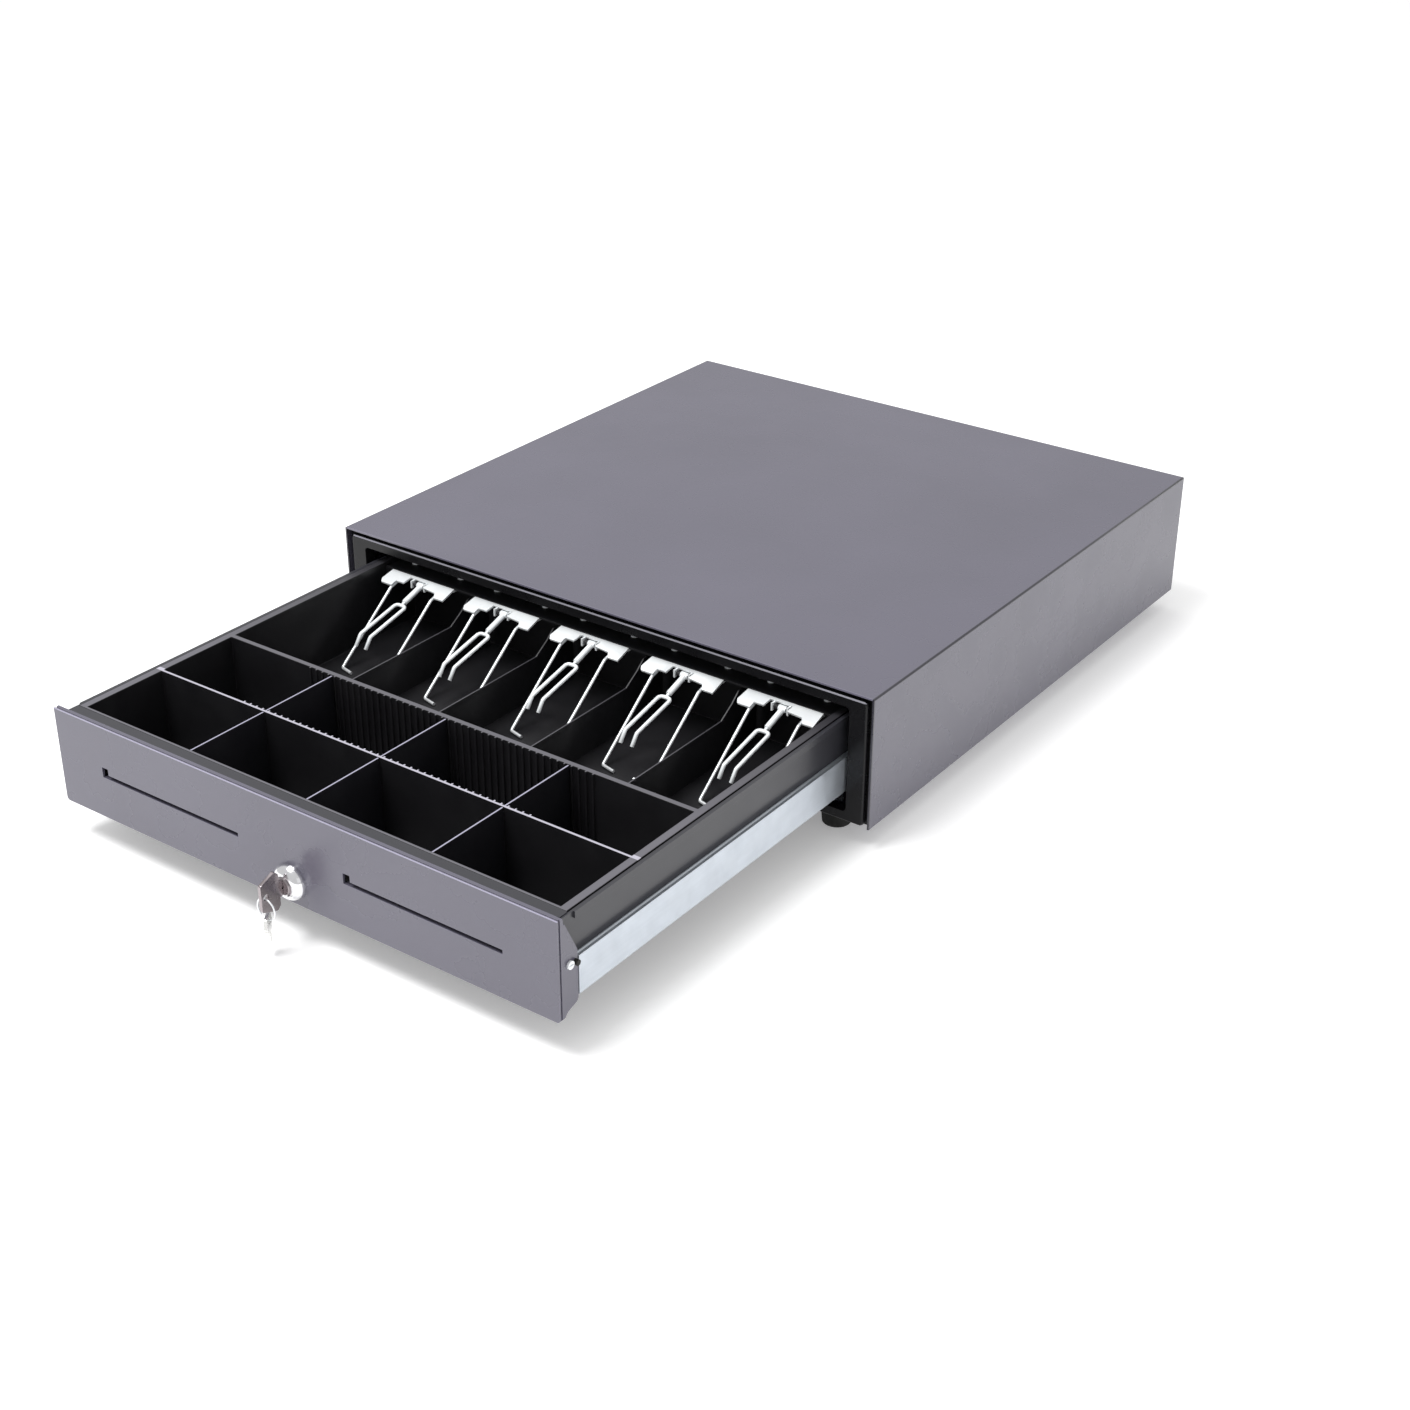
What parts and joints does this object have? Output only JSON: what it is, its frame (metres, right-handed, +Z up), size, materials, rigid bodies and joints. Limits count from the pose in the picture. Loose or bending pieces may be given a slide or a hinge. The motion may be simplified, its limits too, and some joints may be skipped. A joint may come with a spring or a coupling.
{
  "type": "cash drawer",
  "caption": "Steel cash drawer, shown open: cabinet on rubber feet, drawer on ball slides, till with coin bins and sprung note clips, front lock with keys.",
  "frame": {"origin": "on the counter, under the middle of the cabinet", "axes": "+Z up, -Y out of the front towards the user, +X to the user's right"},
  "size_m": [0.41, 0.6947, 0.1],
  "materials": {
    "painted_steel": "satin powder coat",
    "pan_steel": "satin powder coat",
    "black_steel": "satin powder coat",
    "black_screws": "satin black oxide",
    "bezel_plastic": "semi-gloss moulded",
    "till_plastic": "fine moulded texture",
    "black_plastic": "matt",
    "rubber": "matt",
    "slide_steel": "bright zinc plate",
    "cage_steel": "pressed strip",
    "zinc_steel": "bright zinc plate",
    "zinc_bright": "bright zinc plate",
    "spring_steel": "drawn wire",
    "chrome": "polished",
    "lock_core": "dark nickel",
    "key_nickel": "dark nickel",
    "key_bright": "bright nickel",
    "coil_wrap": "varnished tape"
  },
  "bodies": {
    "cabinet": {"cabinet_cover": "painted_steel", "base_pan": "painted_steel", "front_bezel": "bezel_plastic", "rubber_feet": "rubber", "foot_screws": "zinc_steel", "foot_nuts": "zinc_steel", "cover_screws": "black_screws", "data_socket": "black_plastic", "cabinet_rail_left": "slide_steel", "cabinet_rail_right": "slide_steel", "rail_bracket_left": "slide_steel", "rail_bracket_right": "slide_steel", "rail_screws": "zinc_steel", "latch_bracket": "slide_steel", "latch_pin": "zinc_steel", "solenoid_frame": "slide_steel", "solenoid_coil": "coil_wrap", "spring_seat": "slide_steel", "eject_spring": "spring_steel"},
    "drawer": {"drawer_pan": "pan_steel", "drawer_front_panel": "painted_steel", "panel_screws": "zinc_bright", "closing_bumpers": "rubber", "drawer_rail_left": "slide_steel", "drawer_rail_right": "slide_steel", "till_tray": "till_plastic", "coin_dividers_front": "till_plastic", "coin_dividers_rear": "till_plastic", "note_dividers": "till_plastic", "clip_rail": "black_steel", "clip_rivets": "zinc_steel", "clip_pins": "black_screws", "clip_springs": "black_screws", "guide_wires": "zinc_steel", "lock_housing": "chrome", "lock_nut": "zinc_steel", "latch_striker": "zinc_steel", "clip_bracket_1": "zinc_bright", "clip_bracket_2": "zinc_bright", "clip_bracket_3": "zinc_bright", "clip_bracket_4": "zinc_bright", "clip_bracket_5": "zinc_bright"},
    "cage_left": {"ball_cage_left": "cage_steel", "balls_left": "chrome"},
    "cage_right": {"ball_cage_right": "cage_steel", "balls_right": "chrome"},
    "plug": {"lock_plug": "lock_core", "lock_cam": "zinc_steel"},
    "key": {"lock_key": "key_nickel"},
    "ring": {"key_ring": "zinc_steel"},
    "spare": {"spare_key": "key_bright"},
    "hook": {"latch_hook": "slide_steel"},
    "plunger": {"solenoid_plunger": "zinc_steel"},
    "arm_1": {"clip_arm_1": "zinc_bright"},
    "arm_2": {"clip_arm_2": "zinc_bright"},
    "arm_3": {"clip_arm_3": "zinc_bright"},
    "arm_4": {"clip_arm_4": "zinc_bright"},
    "arm_5": {"clip_arm_5": "zinc_bright"}
  },
  "joints": [
    {"name": "drawer_slide", "type": "slide", "parent": "cabinet", "child": "drawer", "axis": [0, 1, 0], "range_m": [0, 0.259], "deforming": ["eject_spring"]},
    {"name": "cage_left_slide", "type": "slide", "parent": "cabinet", "child": "cage_left", "axis": [0, 1, 0], "range_m": [0, 0.1295]},
    {"name": "cage_right_slide", "type": "slide", "parent": "cabinet", "child": "cage_right", "axis": [0, 1, 0], "range_m": [0, 0.1295]},
    {"name": "lock_turn", "type": "hinge", "parent": "drawer", "child": "plug", "pos_m": [0, -0.46, 0.0366], "axis": [0, 1, 0], "range_deg": [0, 90]},
    {"name": "key_pull", "type": "slide", "parent": "plug", "child": "key", "axis": [0, -1, 0], "range_m": [0, 0.03]},
    {"name": "ring_swing", "type": "hinge", "parent": "key", "child": "ring", "pos_m": [0, -0.4834, 0.0366], "axis": [1, 0, 0], "range_deg": [-12, 3]},
    {"name": "spare_key_swing", "type": "hinge", "parent": "ring", "child": "spare", "pos_m": [0, -0.4834, 0.02125], "axis": [0.8131, 0.5821, 0], "range_deg": [-35, 15]},
    {"name": "latch_turn", "type": "hinge", "parent": "cabinet", "child": "hook", "pos_m": [0, 0.14, 0.052], "axis": [1, 0, 0], "range_deg": [0, 14]},
    {"name": "plunger_lift", "type": "slide", "parent": "cabinet", "child": "plunger", "axis": [0, 0, 1], "range_m": [0, 0.00436]},
    {"name": "clip_1_lift", "type": "hinge", "parent": "drawer", "child": "arm_1", "pos_m": [-0.142, -0.2015, 0.0732], "axis": [-1, 0, 0], "range_deg": [0, 40], "stiffness_Nm_per_rad": 0.03, "springref_deg": -40.11},
    {"name": "clip_2_lift", "type": "hinge", "parent": "drawer", "child": "arm_2", "pos_m": [-0.071, -0.2015, 0.0732], "axis": [-1, 0, 0], "range_deg": [0, 40], "stiffness_Nm_per_rad": 0.03, "springref_deg": -40.11},
    {"name": "clip_3_lift", "type": "hinge", "parent": "drawer", "child": "arm_3", "pos_m": [0, -0.2015, 0.0732], "axis": [-1, 0, 0], "range_deg": [0, 40], "stiffness_Nm_per_rad": 0.03, "springref_deg": -40.11},
    {"name": "clip_4_lift", "type": "hinge", "parent": "drawer", "child": "arm_4", "pos_m": [0.071, -0.2015, 0.0732], "axis": [-1, 0, 0], "range_deg": [0, 40], "stiffness_Nm_per_rad": 0.03, "springref_deg": -40.11},
    {"name": "clip_5_lift", "type": "hinge", "parent": "drawer", "child": "arm_5", "pos_m": [0.142, -0.2015, 0.0732], "axis": [-1, 0, 0], "range_deg": [0, 40], "stiffness_Nm_per_rad": 0.03, "springref_deg": -40.11}
  ],
  "couplings": [
    {"joint": "cage_left_slide", "follows": "drawer_slide", "ratio": 0.5},
    {"joint": "cage_right_slide", "follows": "drawer_slide", "ratio": 0.5},
    {"joint": "plunger_lift", "follows": "latch_turn", "m_per_rad": 0.017821}
  ]
}
